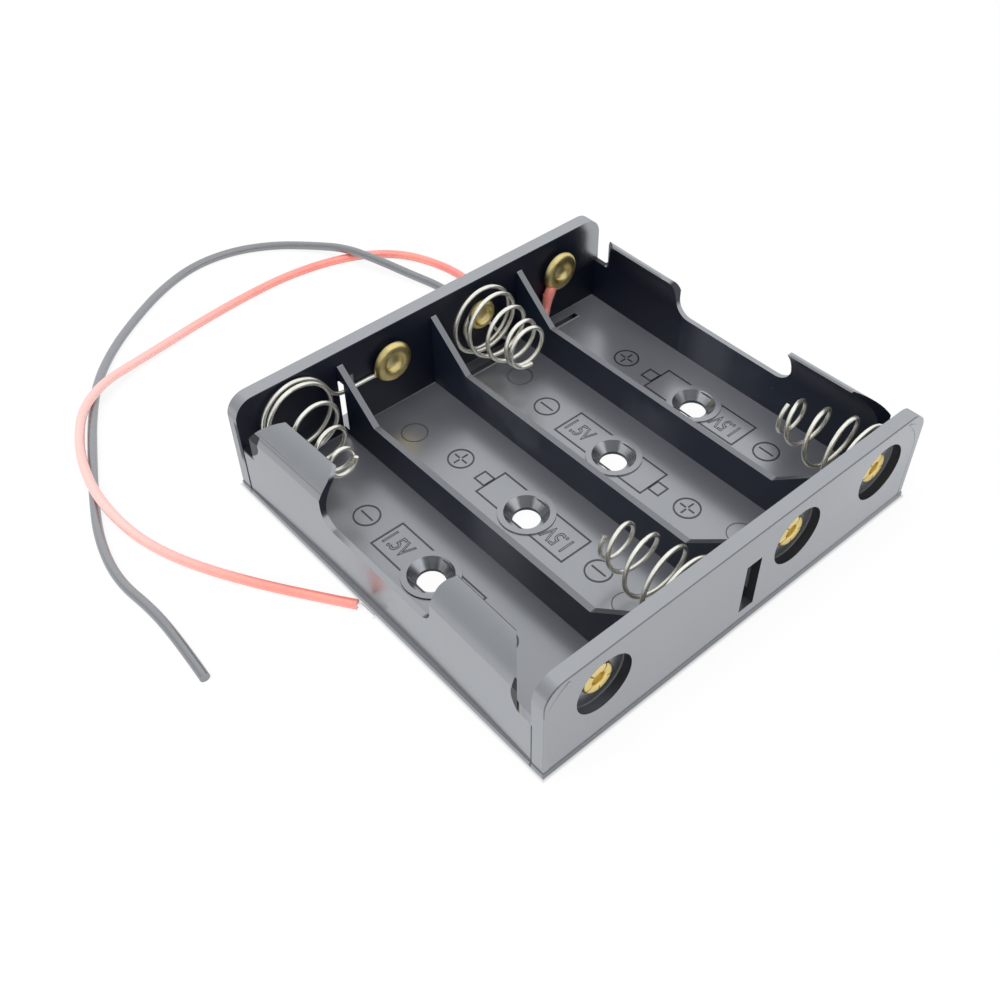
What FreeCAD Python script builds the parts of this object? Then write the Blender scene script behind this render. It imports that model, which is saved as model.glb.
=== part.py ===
import FreeCAD, Part
import math
import os

from FreeCAD import Vector

# Holder for four cylindrical cells lying side by side, in millimetres.
# X runs across the cells, Y along them to the wall that the leads leave, Z up.
# The origin is the middle of the underside. Rows are a, b, c, d from -X to +X.

# Cells and their bays
cell_diameter = 14.5
cell_length = 50.5
cell_spacing = 1.1
contact_room = 4.2
row_names = ("a", "b", "c", "d")

# Moulded housing
base_thickness = 0.7
base_edge = 0.12
floor_height = 1.4
end_wall_thickness = 2.0
end_wall_height = 15.05
end_wall_corner_radius = 2.8
back_edge_radius = 1.0
side_wall_thickness = 0.75
side_wall_bow = 0.45
partition_thickness = 0.9
partition_low_height = 6.8
partition_high_height = 12.8
partition_slope_length = 7.15

# Side wall's lips, which curl over the cell's ends
lip_crease_height = 11.2
lip_outer_radius = 7.0
lip_tip_angle = 51.5
lip_tip_thickness = 0.3
side_wall_low_height = 7.55
window_half_length = 10.35
window_foot_radius = 2.4
window_tip_radius = 1.6
lip_end_gap = 2.15
lip_gap_floor_height = 7.8
lip_gap_floor_radius = 0.5
lip_end_slant = 49.0

# Screw holes in the floor, one under each cell
screw_hole_diameter = 3.7
screw_sink_diameter = 6.0
screw_sink_depth = 1.15
screw_boss_diameter = 7.6
screw_boss_height = 1.6
screw_hole_shift = -0.4

# Slots in the end walls and the notch that lets the spring wire past a partition
wire_slot_width = 2.5
wire_slot_bottom = 2.4
wire_slot_top = 10.4
wire_slot_shift = 0.6
wire_notch_depth = 1.0

# Narrow slots through the floor behind the back contacts
floor_slot_width = 0.8
floor_slot_length = 9.25
floor_slot_from_wall = 1.7

# Eyelets in the end walls, at the back and the front
contact_above_axis = {1: 1.0, -1: 0.55}
eyelet_flange_diameter = {"a": 6.0, "b": 6.0, "c": 4.5, "d": 6.0}
eyelet_flange_rise = 0.7
eyelet_cup_diameter = 2.5
eyelet_cup_lip = 0.2
eyelet_cup_depth = 0.6
eyelet_cup_dome = 0.15
eyelet_barrel_diameter = 2.4
eyelet_barrel_wall = 0.3
eyelet_tail_diameter = 4.3
eyelet_tail_rise = 0.5
eyelet_hole_clearance = 0.05
eyelet_clamp_clearance = 0.02
eyelet_recess_diameter = 8.0
eyelet_recess_depth = 1.3

# Contact springs, one bent wire each. No two are bent quite alike
spring_wire = 0.6
spring_wall_clearance = 0.05
spring_base_radius = 5.0
spring_tip_pitch = 0.65
spring_close_turns = {"a": 1.3, "b": 0.95, "c": 1.05, "d": 0.5}
spring_close_pitch = {"a": 1.1, "b": 1.0, "c": 0.7, "d": 0.65}
spring_open_turns = {"a": 2.6, "b": 2.75, "c": 2.85, "d": 2.8}
spring_open_pitch = {"a": 3.8, "b": 3.85, "c": 2.95, "d": 3.9}
spring_tip_turns = {"a": 1.0, "b": 0.8, "c": 1.2, "d": 0.85}
spring_tip_radius = {"a": 1.9, "b": 2.6, "c": 2.95, "d": 2.45}
spring_base_side = {"a": 0.05, "b": 0.1, "c": -0.45, "d": 0.0}
spring_base_lift = {"a": -0.2, "b": -0.35, "c": -0.3, "d": 0.1}
spring_tip_side = {"a": -0.9, "b": -0.9, "c": -0.3, "d": -1.45}
spring_tip_lift = {"a": 0.0, "b": -1.35, "c": 0.15, "d": -0.95}
spring_points_per_turn = 12
linked_loop_sweep = 240.0
clamped_loop_sweep = 180.0
clamped_coil_start = {"c": 251.0, "d": 9.0}
clamped_coil_lift = {"c": 0.75, "d": 0.35}
clamp_step = 45.0
tail_drop = 1.05
tail_bend_room = 1.6

# A rounded corner takes this share of the shorter run beside it
corner_share = 0.45

# Leads
lead_diameter = 1.3
lead_core_diameter = 0.5
lead_hole_clearance = 0.25
lead_exit_height = 2.12
lead_exit_side = 1.7

# Sizes that follow from the ones above
row_count = len(row_names)
row_pitch = cell_diameter + cell_spacing
row_places = [(i - (row_count - 1) / 2) * row_pitch for i in range(row_count)]
row_x = dict(zip(row_names, row_places))
cell_radius = cell_diameter / 2
cell_axis_height = floor_height + cell_radius
contact_height = {side: cell_axis_height + above for side, above in contact_above_axis.items()}
wall_inner_x = row_places[-1] + cell_radius
wall_outer_x = wall_inner_x + side_wall_thickness
wall_inner_y = (cell_length + contact_room) / 2
wall_outer_y = wall_inner_y + end_wall_thickness
base_half_x = wall_outer_x + base_edge
base_half_y = wall_outer_y + base_edge
partition_x = [(a + b) / 2 for a, b in zip(row_places, row_places[1:])]
wire_y = wall_inner_y - spring_wall_clearance - spring_wire / 2
lead_radius = lead_diameter / 2

# Cutters run this far past the faces they open
past = 1.0


def box(x0, x1, y0, y1, z0, z1):
    """A box between two opposite corners."""
    return Part.makeBox(x1 - x0, y1 - y0, z1 - z0, Vector(x0, y0, z0))


def face_from(edges):
    """A flat face inside a closed run of edges."""
    return Part.Face(Part.Wire(edges))


def line(start, end):
    return Part.LineSegment(start, end).toShape()


def arc(start, middle, end):
    return Part.Arc(start, middle, end).toShape()


def arc_of_radius(start, end, radius, toward):
    """The short arc from start to end that bulges to the side of toward."""
    chord = end - start
    half = chord.Length / 2
    rise = radius - math.sqrt(radius ** 2 - half ** 2)
    centre = (start + end) * 0.5
    side = toward - centre
    across = side - chord * (side.dot(chord) / chord.dot(chord))
    across.normalize()
    return arc(start, centre + across * rise, end)


def polygon(points):
    return Part.Face(Part.makePolygon(points + [points[0]]))


def mirrored_x(shape):
    return shape.mirror(Vector(0, 0, 0), Vector(1, 0, 0))


def mirrored_y(shape):
    return shape.mirror(Vector(0, 0, 0), Vector(0, 1, 0))


def union(shapes):
    """All the shapes as one, with the seams between them cleaned away."""
    return shapes[0].multiFuse(shapes[1:]).removeSplitter()


def make_base():
    """The flat plate under the housing and the raised floor inside its walls."""
    plate = box(-base_half_x, base_half_x, -base_half_y, base_half_y, 0, base_thickness)
    inside_x = wall_inner_x + (side_wall_thickness - side_wall_bow) / 2
    floor = box(-inside_x, inside_x, -wall_outer_y, wall_outer_y, base_thickness, floor_height)
    return [plate, floor]


def make_end_wall():
    """The wall at +Y, with both top corners rounded."""
    top_z = end_wall_height
    side_z = top_z - end_wall_corner_radius
    side_x = wall_outer_x
    top_x = side_x - end_wall_corner_radius
    diagonal = end_wall_corner_radius * math.sqrt(0.5)
    y = wall_inner_y
    left = arc(
        Vector(-side_x, y, side_z),
        Vector(-top_x - diagonal, y, side_z + diagonal),
        Vector(-top_x, y, top_z),
    )
    right = arc(
        Vector(top_x, y, top_z),
        Vector(top_x + diagonal, y, side_z + diagonal),
        Vector(side_x, y, side_z),
    )
    foot_left = Vector(-side_x, y, base_thickness)
    foot_right = Vector(side_x, y, base_thickness)
    outline = [
        line(foot_left, Vector(-side_x, y, side_z)),
        left,
        line(Vector(-top_x, y, top_z), Vector(top_x, y, top_z)),
        right,
        line(Vector(side_x, y, side_z), foot_right),
        line(foot_right, foot_left),
    ]
    return face_from(outline).extrude(Vector(0, end_wall_thickness, 0))


def lip_tip(extra):
    """The lip's tip in section, extra outside the cell's surface."""
    angle = math.radians(lip_tip_angle)
    reach = cell_radius + extra
    return (row_places[-1] + reach * math.cos(angle), cell_axis_height + reach * math.sin(angle))


def side_wall_section():
    """Section of the +X side wall, with the lip that follows the cell's surface."""
    def at(x, z):
        return Vector(x - side_wall_bow, 0, z)

    inner_tip = at(*lip_tip(0))
    outer_tip = at(*lip_tip(lip_tip_thickness))
    spring_line = at(wall_inner_x, cell_axis_height)
    half_angle = math.radians(lip_tip_angle / 2)
    inner_middle = at(
        row_places[-1] + cell_radius * math.cos(half_angle),
        cell_axis_height + cell_radius * math.sin(half_angle),
    )
    crease = at(wall_outer_x, lip_crease_height)
    outside = at(wall_outer_x, end_wall_height)
    foot_in = at(wall_inner_x, base_thickness)
    foot_out = at(wall_outer_x, base_thickness)
    return face_from([
        line(foot_in, spring_line),
        arc(spring_line, inner_middle, inner_tip),
        line(inner_tip, outer_tip),
        arc_of_radius(outer_tip, crease, lip_outer_radius, outside),
        line(crease, foot_out),
        line(foot_out, foot_in),
    ])


def window_cutter():
    """What is cut from the side wall's middle, leaving S-shaped ends to the lips."""
    top_z = lip_tip(lip_tip_thickness)[1]
    over_z = end_wall_height + past
    foot_z = side_wall_low_height
    x = wall_inner_x - cell_radius
    foot_y = window_half_length - window_foot_radius
    tip_y = window_half_length + window_tip_radius
    foot_diagonal = window_foot_radius * (1 - math.sqrt(0.5))
    tip_diagonal = window_tip_radius * (1 - math.sqrt(0.5))
    half = [
        line(Vector(x, 0, foot_z), Vector(x, foot_y, foot_z)),
        arc(
            Vector(x, foot_y, foot_z),
            Vector(x, window_half_length - foot_diagonal, foot_z + foot_diagonal),
            Vector(x, window_half_length, foot_z + window_foot_radius),
        ),
        line(
            Vector(x, window_half_length, foot_z + window_foot_radius),
            Vector(x, window_half_length, top_z - window_tip_radius),
        ),
        arc(
            Vector(x, window_half_length, top_z - window_tip_radius),
            Vector(x, window_half_length + tip_diagonal, top_z - tip_diagonal),
            Vector(x, tip_y, top_z),
        ),
        line(Vector(x, tip_y, top_z), Vector(x, tip_y, over_z)),
        line(Vector(x, tip_y, over_z), Vector(x, 0, over_z)),
    ]
    other = [mirrored_y(edge) for edge in reversed(half)]
    outline = Part.Wire(Part.__sortEdges__(half + other))
    return Part.Face(outline).extrude(Vector(2 * cell_radius, 0, 0))


def edges_between(shape, start, end):
    """The shape's straight edges that join two of its corners."""
    return [
        edge for edge in shape.Edges
        if {tuple(v.Point) for v in edge.Vertexes} == {tuple(start), tuple(end)}
    ]


def lip_end_cutter():
    """The gap between the lip's slanted end and the end wall at +Y."""
    slope = math.tan(math.radians(lip_end_slant))
    gap_y = wall_inner_y - lip_end_gap
    z = lip_gap_floor_height
    far_x = wall_outer_x + past
    near = Vector(wall_outer_x - cell_radius, gap_y - cell_radius * slope, z)
    far = Vector(far_x, gap_y + past * slope, z)
    outline = [near, far, Vector(far_x, wall_inner_y, z), Vector(near.x, wall_inner_y, z)]
    prism = polygon(outline).extrude(Vector(0, 0, end_wall_height))
    return prism.makeFillet(lip_gap_floor_radius, edges_between(prism, near, far))


def make_side_wall():
    """The +X side wall: its section swept along a shallow bow, then cut to its lips."""
    half_length = wall_outer_y
    bow_radius = (half_length ** 2 + side_wall_bow ** 2) / (2 * side_wall_bow)
    axis = Vector(wall_outer_x - side_wall_bow + bow_radius, 0, 0)
    half_turn = math.degrees(math.asin(half_length / bow_radius))
    section = side_wall_section()
    section.rotate(axis, Vector(0, 0, 1), -half_turn)
    wall = section.revolve(axis, Vector(0, 0, 1), 2 * half_turn)
    wall = wall.cut(window_cutter())
    end_cutter = lip_end_cutter()
    wall = wall.cut(end_cutter)
    return wall.cut(mirrored_y(end_cutter))


def make_partition(x):
    """A thin wall between two cells, higher at its ends."""
    left = x - partition_thickness / 2
    slope_y = wall_inner_y - partition_slope_length
    outline = [
        Vector(left, -wall_inner_y, floor_height),
        Vector(left, -wall_inner_y, partition_high_height),
        Vector(left, -slope_y, partition_low_height),
        Vector(left, slope_y, partition_low_height),
        Vector(left, wall_inner_y, partition_high_height),
        Vector(left, wall_inner_y, floor_height),
    ]
    return polygon(outline).extrude(Vector(partition_thickness, 0, 0))


def upright_disc(x, z, y0, y1, diameter):
    """A disc whose axis runs along Y."""
    return Part.makeCylinder(diameter / 2, y1 - y0, Vector(x, y0, z), Vector(0, 1, 0))


def screw_boss(x):
    return Part.makeCylinder(
        screw_boss_diameter / 2,
        screw_boss_height - base_thickness,
        Vector(x, screw_hole_shift, base_thickness),
    )


def screw_hole(x):
    """A through hole with a conical countersink that opens at the boss's rim."""
    hole = Part.makeCylinder(
        screw_hole_diameter / 2, screw_boss_height + 2 * past, Vector(x, screw_hole_shift, -past)
    )
    sink = Part.makeCone(
        screw_hole_diameter / 2,
        screw_sink_diameter / 2,
        screw_sink_depth,
        Vector(x, screw_hole_shift, screw_boss_height - screw_sink_depth),
    )
    return hole.fuse(sink)


def wire_slot(partition, wall_side):
    """Slot through an end wall beside a partition, and the notch in the partition."""
    x = partition + wire_slot_shift
    half = wire_slot_width / 2
    slot = box(
        x - half, x + half, wall_inner_y, wall_outer_y + past, wire_slot_bottom, wire_slot_top
    )
    notch = box(
        partition - half,
        partition + half,
        wall_inner_y - wire_notch_depth,
        wall_inner_y,
        wire_slot_bottom,
        wire_slot_top,
    )
    cutter = slot.fuse(notch)
    if wall_side < 0:
        return mirrored_y(cutter)
    return cutter


def floor_slot(row):
    """Narrow slot through the floor from a partition toward the row's far side."""
    x0 = row_x[row] - row_pitch / 2 + partition_thickness / 2
    y1 = wall_inner_y - floor_slot_from_wall
    y0 = y1 - floor_slot_width
    return box(x0, x0 + floor_slot_length, y0, y1, -past, floor_height + past)


def eyelet_seat(x, wall_side):
    """Hole for an eyelet's barrel and the round recess outside for its tail."""
    z = contact_height[wall_side]
    hole = upright_disc(
        x, z, wall_inner_y - past, wall_outer_y + past,
        eyelet_barrel_diameter + 2 * eyelet_hole_clearance,
    )
    recess = upright_disc(
        x, z, wall_outer_y - eyelet_recess_depth, wall_outer_y + past, eyelet_recess_diameter
    )
    seat = hole.fuse(recess)
    if wall_side < 0:
        return mirrored_y(seat)
    return seat


def lead_hole(x):
    """Small doorway at the foot of the back wall that a lead leaves by."""
    half = lead_radius + lead_hole_clearance
    return box(
        x - half, x + half, wall_inner_y, wall_outer_y + past,
        floor_height, lead_exit_height + half,
    )


def envelope():
    """The housing's outer bounds, with the back wall's lower edge rounded."""
    x = base_half_x
    y = base_half_y
    block = box(-x, x, -y, y, 0, end_wall_height)
    lower_back = edges_between(block, Vector(-x, y, 0), Vector(x, y, 0))
    return block.makeFillet(back_edge_radius, lower_back)


# Each eyelet's row, its wall (+1 back, -1 front) and its shift from the row's middle
eyelet_places = (
    ("b", 1, 0.0), ("c", 1, 0.0), ("d", 1, -0.5),
    ("a", -1, 0.5), ("c", -1, 0.5), ("d", -1, 0.5),
)
eyelet_x = {(row, side): row_x[row] + shift for row, side, shift in eyelet_places}
wall_names = {1: "back", -1: "front"}
lead_exit_x = {
    "black": partition_x[-1] - lead_exit_side,
    "red": partition_x[-1] + lead_exit_side,
}


def make_holder_body():
    end_wall = make_end_wall()
    side_wall = make_side_wall()
    pieces = make_base()
    pieces += [end_wall, mirrored_y(end_wall), side_wall, mirrored_x(side_wall)]
    pieces += [make_partition(x) for x in partition_x]
    pieces += [screw_boss(x) for x in row_places]
    body = union(pieces)
    cutters = [screw_hole(x) for x in row_places]
    cutters += [wire_slot(partition_x[0], 1), wire_slot(partition_x[1], -1)]
    cutters += [floor_slot("c"), floor_slot("d")]
    cutters += [eyelet_seat(x, side) for (row, side), x in eyelet_x.items()]
    cutters += [lead_hole(x) for x in lead_exit_x.values()]
    body = body.cut(cutters).common(envelope())
    return body.removeSplitter()


def make_eyelet(row, wall_side):
    """Brass eyelet: crowned flange with a cup inside, hollow barrel, rolled tail outside."""
    def at(radius, outward):
        return Vector(radius, 0, outward)

    def quarter(start, end):
        """A bulging quarter turn that starts along Z and ends along the radius."""
        run = end - start
        return arc(start, start + Vector(run.x * (1 - math.sqrt(0.5)), 0, run.z * math.sqrt(0.5)), end)

    seat = -(spring_wall_clearance + spring_wire + eyelet_clamp_clearance)
    front = seat - eyelet_flange_rise
    flange = eyelet_flange_diameter[row] / 2
    cup = eyelet_cup_diameter / 2
    crown = (flange + cup) / 2
    cup_foot = cup - eyelet_cup_lip
    cup_bottom = front + eyelet_cup_depth
    barrel = eyelet_barrel_diameter / 2
    bore = barrel - eyelet_barrel_wall
    web = end_wall_thickness - eyelet_recess_depth
    tail = eyelet_tail_diameter / 2
    tail_end = web + eyelet_tail_rise
    roll = eyelet_barrel_wall
    edges = [
        arc(
            at(0, cup_bottom - eyelet_cup_dome),
            at(cup_foot * math.sqrt(0.5), cup_bottom - eyelet_cup_dome / 2),
            at(cup_foot, cup_bottom),
        ),
        line(at(cup_foot, cup_bottom), at(cup, front + eyelet_cup_lip)),
        quarter(at(cup, front + eyelet_cup_lip), at(crown, front)),
        quarter(at(flange, seat), at(crown, front)),
        line(at(flange, seat), at(barrel, seat)),
        line(at(barrel, seat), at(barrel, web)),
        line(at(barrel, web), at(tail, web)),
        quarter(at(tail, web), at(tail - eyelet_tail_rise, tail_end)),
        line(at(tail - eyelet_tail_rise, tail_end), at(bore + roll, tail_end)),
        quarter(at(bore, tail_end - roll), at(bore + roll, tail_end)),
        line(at(bore, tail_end - roll), at(bore, 0)),
        line(at(bore, 0), at(0, 0)),
        line(at(0, 0), at(0, cup_bottom - eyelet_cup_dome)),
    ]
    outline = Part.Wire(Part.__sortEdges__(edges))
    solid = Part.Face(outline).revolve(Vector(0, 0, 0), Vector(0, 0, 1), 360)
    solid.rotate(Vector(0, 0, 0), Vector(1, 0, 0), -90)
    solid.translate(Vector(eyelet_x[row, wall_side], wall_inner_y, contact_height[wall_side]))
    if wall_side < 0:
        return mirrored_y(solid)
    return solid


def rounded_path(points):
    """Straight runs through the points, joined by tangent arcs. Gives wire and radii."""
    edges = []
    radii = []
    start = points[0]
    for before, corner, after in zip(points, points[1:], points[2:]):
        back = before - corner
        ahead = after - corner
        cut = corner_share * min(back.Length, ahead.Length)
        turn = math.pi - back.getAngle(ahead)
        radius = cut / math.tan(turn / 2)
        back.normalize()
        ahead.normalize()
        first = corner + back * cut
        last = corner + ahead * cut
        bisector = back + ahead
        bisector.normalize()
        depth = radius / math.cos(turn / 2) - radius
        edges.append(line(start, first))
        edges.append(arc(first, corner + bisector * depth, last))
        radii.append(radius)
        start = last
    edges.append(line(start, points[-1]))
    return Part.Wire(edges), radii


def tube(points, diameter):
    """A round bar along a rounded path, with the radii of its arcs."""
    path, radii = rounded_path(points)
    heading = points[1] - points[0]
    ring = Part.Wire(Part.makeCircle(diameter / 2, points[0], heading))
    solid = path.makePipeShell([ring], True, True)
    return solid, radii


def spring_rise(row, turn):
    """Distance of a row's coil from its first point after so many turns."""
    close = min(turn, spring_close_turns[row])
    opened = min(turn - close, spring_open_turns[row])
    tip = turn - close - opened
    rise = close * spring_close_pitch[row] + opened * spring_open_pitch[row]
    return rise + tip * spring_tip_pitch


def spring_radius(row, turn):
    """Radius of a row's coil after so many turns: even near the wall, then a cone."""
    share = min(max(turn - spring_close_turns[row], 0) / spring_open_turns[row], 1)
    return spring_base_radius + (spring_tip_radius[row] - spring_base_radius) * share


def coil_points(row, centre, first_angle):
    """Corners of a row's coil, from the back wall outward."""
    turns = spring_close_turns[row] + spring_open_turns[row] + spring_tip_turns[row]
    whole_rise = spring_rise(row, turns)
    base = Vector(spring_base_side[row], 0, spring_base_lift[row])
    tip = Vector(spring_tip_side[row], -whole_rise, spring_tip_lift[row])
    points = []
    for step in range(round(turns * spring_points_per_turn) + 1):
        turn = step / spring_points_per_turn
        angle = math.radians(first_angle) + 2 * math.pi * turn
        corner = spring_radius(row, turn) / math.cos(math.pi / spring_points_per_turn)
        share = spring_rise(row, turn) / whole_rise
        middle = centre + base + (tip - base) * share
        points.append(middle + Vector(corner * math.cos(angle), 0, corner * math.sin(angle)))
    return points


def clamp_points(centre, first_angle, turned):
    """Corners of the part loop that an eyelet clamps, its runs touching the barrel."""
    radius = (eyelet_barrel_diameter + spring_wire) / 2 + eyelet_hole_clearance
    steps = round(abs(turned) / clamp_step)
    radius /= math.cos(math.radians(turned / steps / 2))
    points = []
    for step in range(steps + 1):
        angle = math.radians(first_angle + turned * step / steps)
        points.append(centre + Vector(radius * math.cos(angle), 0, radius * math.sin(angle)))
    return points


def at_front(points):
    """The same points turned half round the upright axis, to the front wall."""
    return [Vector(-p.x, -p.y, p.z) for p in points]


def contact_at(x, side):
    """Middle of the wire on a contact's axis, as if at the back wall."""
    return Vector(x, wire_y, contact_height[side])


def linked_spring_points(row, middle, eyelet):
    """A back spring whose tail crosses a partition's notch to the next row's eyelet."""
    toward = 1 if eyelet.x > middle.x else -1
    notch_x = middle.x + toward * row_pitch / 2
    tail_z = middle.z - tail_drop
    near = Vector(notch_x - toward * tail_bend_room, wire_y, tail_z)
    far = Vector(eyelet.x - toward * eyelet_flange_diameter["b"] / 2, wire_y, tail_z)
    reach = Vector(near.x - middle.x, near.z - middle.z)
    tangent = math.acos(spring_base_radius / reach.Length)
    first_angle = math.degrees(math.atan2(reach.y, reach.x) + tangent)
    away = 0 if toward > 0 else 180
    loop = clamp_points(eyelet, away + toward * linked_loop_sweep / 2, -toward * linked_loop_sweep)
    return loop + [far, near] + coil_points(row, middle, first_angle)


def clamped_spring_points(row, middle, eyelet):
    """A back spring whose first loop is held by the eyelet in its middle."""
    loop_end = clamped_coil_start[row] - 2 * clamp_step
    loop = clamp_points(eyelet, loop_end - clamped_loop_sweep, clamped_loop_sweep)
    angle = math.radians(loop_end + clamp_step)
    radius = ((loop[-1] - eyelet).Length + spring_base_radius) / 2
    step_out = middle + Vector(radius * math.cos(angle), 0, radius * math.sin(angle))
    coil_middle = middle - Vector(0, clamped_coil_lift[row], 0)
    return loop + [step_out] + coil_points(row, coil_middle, clamped_coil_start[row])


def make_springs():
    """The four contact springs: a and b reach to their neighbour's eyelet."""
    back, front = 1, -1
    routes = {
        "spring_back_a": linked_spring_points(
            "a", contact_at(row_x["a"], back), contact_at(eyelet_x["b", back], back)
        ),
        "spring_back_c": clamped_spring_points(
            "c", contact_at(row_x["c"], back), contact_at(eyelet_x["c", back], back)
        ),
        "spring_front_b": at_front(linked_spring_points(
            "b", contact_at(-row_x["b"], front), contact_at(-eyelet_x["c", front], front)
        )),
        "spring_front_d": at_front(clamped_spring_points(
            "d", contact_at(-row_x["d"], front), contact_at(-eyelet_x["d", front], front)
        )),
    }
    return {name: tube(points, spring_wire)[0] for name, points in routes.items()}


def red_lead_points():
    """Corners of the red lead, from row d's eyelet out through the wall to its end."""
    y = wall_inner_y - spring_wall_clearance - lead_radius
    x = lead_exit_x["red"]
    lying = lead_radius
    return [
        Vector(20.5, y, 6.7), Vector(20.3, 26.5, 5.6), Vector(19.9, 26.2, 4.5),
        Vector(19.2, 25.9, 3.4), Vector(18.1, 25.7, 2.6), Vector(x, 26.4, 2.15),
        Vector(x, 28.0, lead_exit_height),
        Vector(x, 30.2, 2.1), Vector(17.5, 33.0, 1.4), Vector(18.1, 36.4, 0.8),
        Vector(18.8, 40.4, lying), Vector(19.4, 45.2, lying),
        Vector(18.6, 50.4, lying), Vector(16.2, 56.1, lying), Vector(11.9, 60.1, lying),
        Vector(6.0, 62.6, lying), Vector(-1.4, 63.9, lying), Vector(-9.0, 63.7, lying),
        Vector(-17.0, 62.9, lying), Vector(-24.8, 61.5, 0.75), Vector(-31.0, 60.0, 1.2),
        Vector(-36.4, 58.0, 2.15), Vector(-41.3, 54.8, 2.15), Vector(-44.4, 50.2, 1.3),
        Vector(-46.5, 44.3, 2.15), Vector(-47.8, 38.0, 2.15), Vector(-47.4, 31.5, 1.0),
        Vector(-45.9, 25.6, lying), Vector(-43.3, 19.5, lying), Vector(-39.9, 13.5, lying),
        Vector(-36.3, 7.9, lying), Vector(-32.5, 2.4, lying),
    ]


def black_lead_points():
    """Corners of the black lead, from below row c's spring out to its cut end."""
    y = wall_inner_y - spring_wall_clearance - lead_radius
    x = lead_exit_x["black"]
    lying = lead_radius
    return [
        Vector(11.5, y, 4.2), Vector(12.3, 26.3, 3.4), Vector(13.2, 25.8, 2.6),
        Vector(x, 26.5, 2.15), Vector(x, 28.1, lead_exit_height),
        Vector(x, 30.3, 2.1), Vector(14.2, 33.0, 1.4), Vector(14.7, 36.4, 0.8),
        Vector(15.1, 40.4, lying), Vector(15.0, 45.4, lying),
        Vector(13.1, 50.8, 1.1), Vector(10.6, 56.2, 2.3), Vector(8.8, 62.1, 2.2),
        Vector(6.3, 67.8, 0.9), Vector(1.9, 72.5, lying), Vector(-4.1, 75.6, lying),
        Vector(-11.0, 76.3, lying), Vector(-18.0, 74.1, lying), Vector(-24.7, 70.3, lying),
        Vector(-31.1, 65.8, lying), Vector(-36.6, 60.3, lying), Vector(-40.8, 53.6, lying),
        Vector(-44.2, 47.0, lying), Vector(-47.7, 39.9, lying), Vector(-50.8, 32.6, lying),
        Vector(-52.3, 25.0, lying), Vector(-51.3, 17.7, lying), Vector(-51.4, 11.0, lying),
        Vector(-51.8, 5.3, lying),
    ]


def straight_on(end, before):
    """A point a short way past the end of a route, in line with its last run."""
    run = end - before
    run.normalize()
    return end + run * lead_core_diameter


def strands_under_flange(lead, row):
    """Corners of a lead's bare strands, from its jacket to beneath a back eyelet's flange."""
    core_y = wall_inner_y - spring_wall_clearance - lead_core_diameter / 2
    centre = Vector(eyelet_x[row, 1], core_y, contact_height[1])
    outward = Vector(lead[0].x, core_y, lead[0].z) - centre
    outward.normalize()
    barrel = eyelet_barrel_diameter / 2 + eyelet_hole_clearance
    return [
        lead[0],
        straight_on(lead[0], lead[1]),
        centre + outward * (eyelet_flange_diameter[row] / 2 + eyelet_hole_clearance),
        centre + outward * barrel,
    ]


def make_leads():
    """Both jackets, their clamped strands and the red lead's bare tip."""
    red = red_lead_points()
    black = black_lead_points()
    red_tip = [red[-1], straight_on(red[-1], red[-2]), Vector(-32.0, -0.2, 0.3)]
    solids = {}
    for name, points in (("red_lead", red), ("black_lead", black)):
        solids[name], radii = tube(points, lead_diameter)
        length = sum((b - a).Length for a, b in zip(points, points[1:]))
        print(name, "corner to corner", round(length, 1), "arc radii", [round(r, 1) for r in radii])
        path = rounded_path(points)[0].Length
        section = math.pi * lead_radius ** 2
        print(name, "volume over section times length", solids[name].Volume / section / path)
    for name, points, row in (("red_lead", red, "d"), ("black_lead", black, "c")):
        strands = strands_under_flange(points, row)
        solids[name + "_clamped_end"] = tube(strands, lead_core_diameter)[0]
    solids["red_lead_bare_tip"] = tube(red_tip, lead_core_diameter)[0]
    return solids


nodes = {"holder_body": make_holder_body()}
for row, side in eyelet_x:
    nodes["eyelet_" + wall_names[side] + "_" + row] = make_eyelet(row, side)
nodes.update(make_springs())
nodes.update(make_leads())

os.makedirs("parts", exist_ok=True)
for name, shape in nodes.items():
    shape.exportStep("parts/" + name + ".step")
    box_size = shape.BoundBox
    print(name, shape.isValid(), len(shape.Solids), round(shape.Volume, 2),
          [round(v, 2) for v in (box_size.XMin, box_size.XMax, box_size.YMin,
                                 box_size.YMax, box_size.ZMin, box_size.ZMax)])
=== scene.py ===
import math
import bpy
from mathutils import Matrix, Vector


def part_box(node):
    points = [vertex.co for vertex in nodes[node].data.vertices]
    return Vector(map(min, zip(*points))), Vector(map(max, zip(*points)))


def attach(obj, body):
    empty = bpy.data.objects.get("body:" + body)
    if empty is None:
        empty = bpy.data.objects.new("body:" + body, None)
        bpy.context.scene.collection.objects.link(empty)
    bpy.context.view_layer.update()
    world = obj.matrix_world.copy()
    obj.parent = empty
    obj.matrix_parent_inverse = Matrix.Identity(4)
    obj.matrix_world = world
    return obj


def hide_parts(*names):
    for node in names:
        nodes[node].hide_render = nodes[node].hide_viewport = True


mm = 0.001
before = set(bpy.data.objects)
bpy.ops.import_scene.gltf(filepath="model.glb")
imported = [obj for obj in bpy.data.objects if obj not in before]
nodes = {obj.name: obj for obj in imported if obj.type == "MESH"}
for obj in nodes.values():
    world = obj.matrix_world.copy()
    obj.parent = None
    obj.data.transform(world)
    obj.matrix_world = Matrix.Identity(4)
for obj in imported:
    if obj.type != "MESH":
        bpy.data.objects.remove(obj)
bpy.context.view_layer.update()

# The housing's sizes that the pieces and finishes below are set by, in millimetres
row_pitch = 15.6
row_x = {"a": -1.5 * row_pitch, "b": -0.5 * row_pitch, "c": 0.5 * row_pitch, "d": 1.5 * row_pitch}
floor_height = 1.4
boss_height = 1.6
wall_height = 15.05
wall_inner_y = 27.35
wall_outer_y = 29.35
recess_floor_y = 28.05
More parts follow.
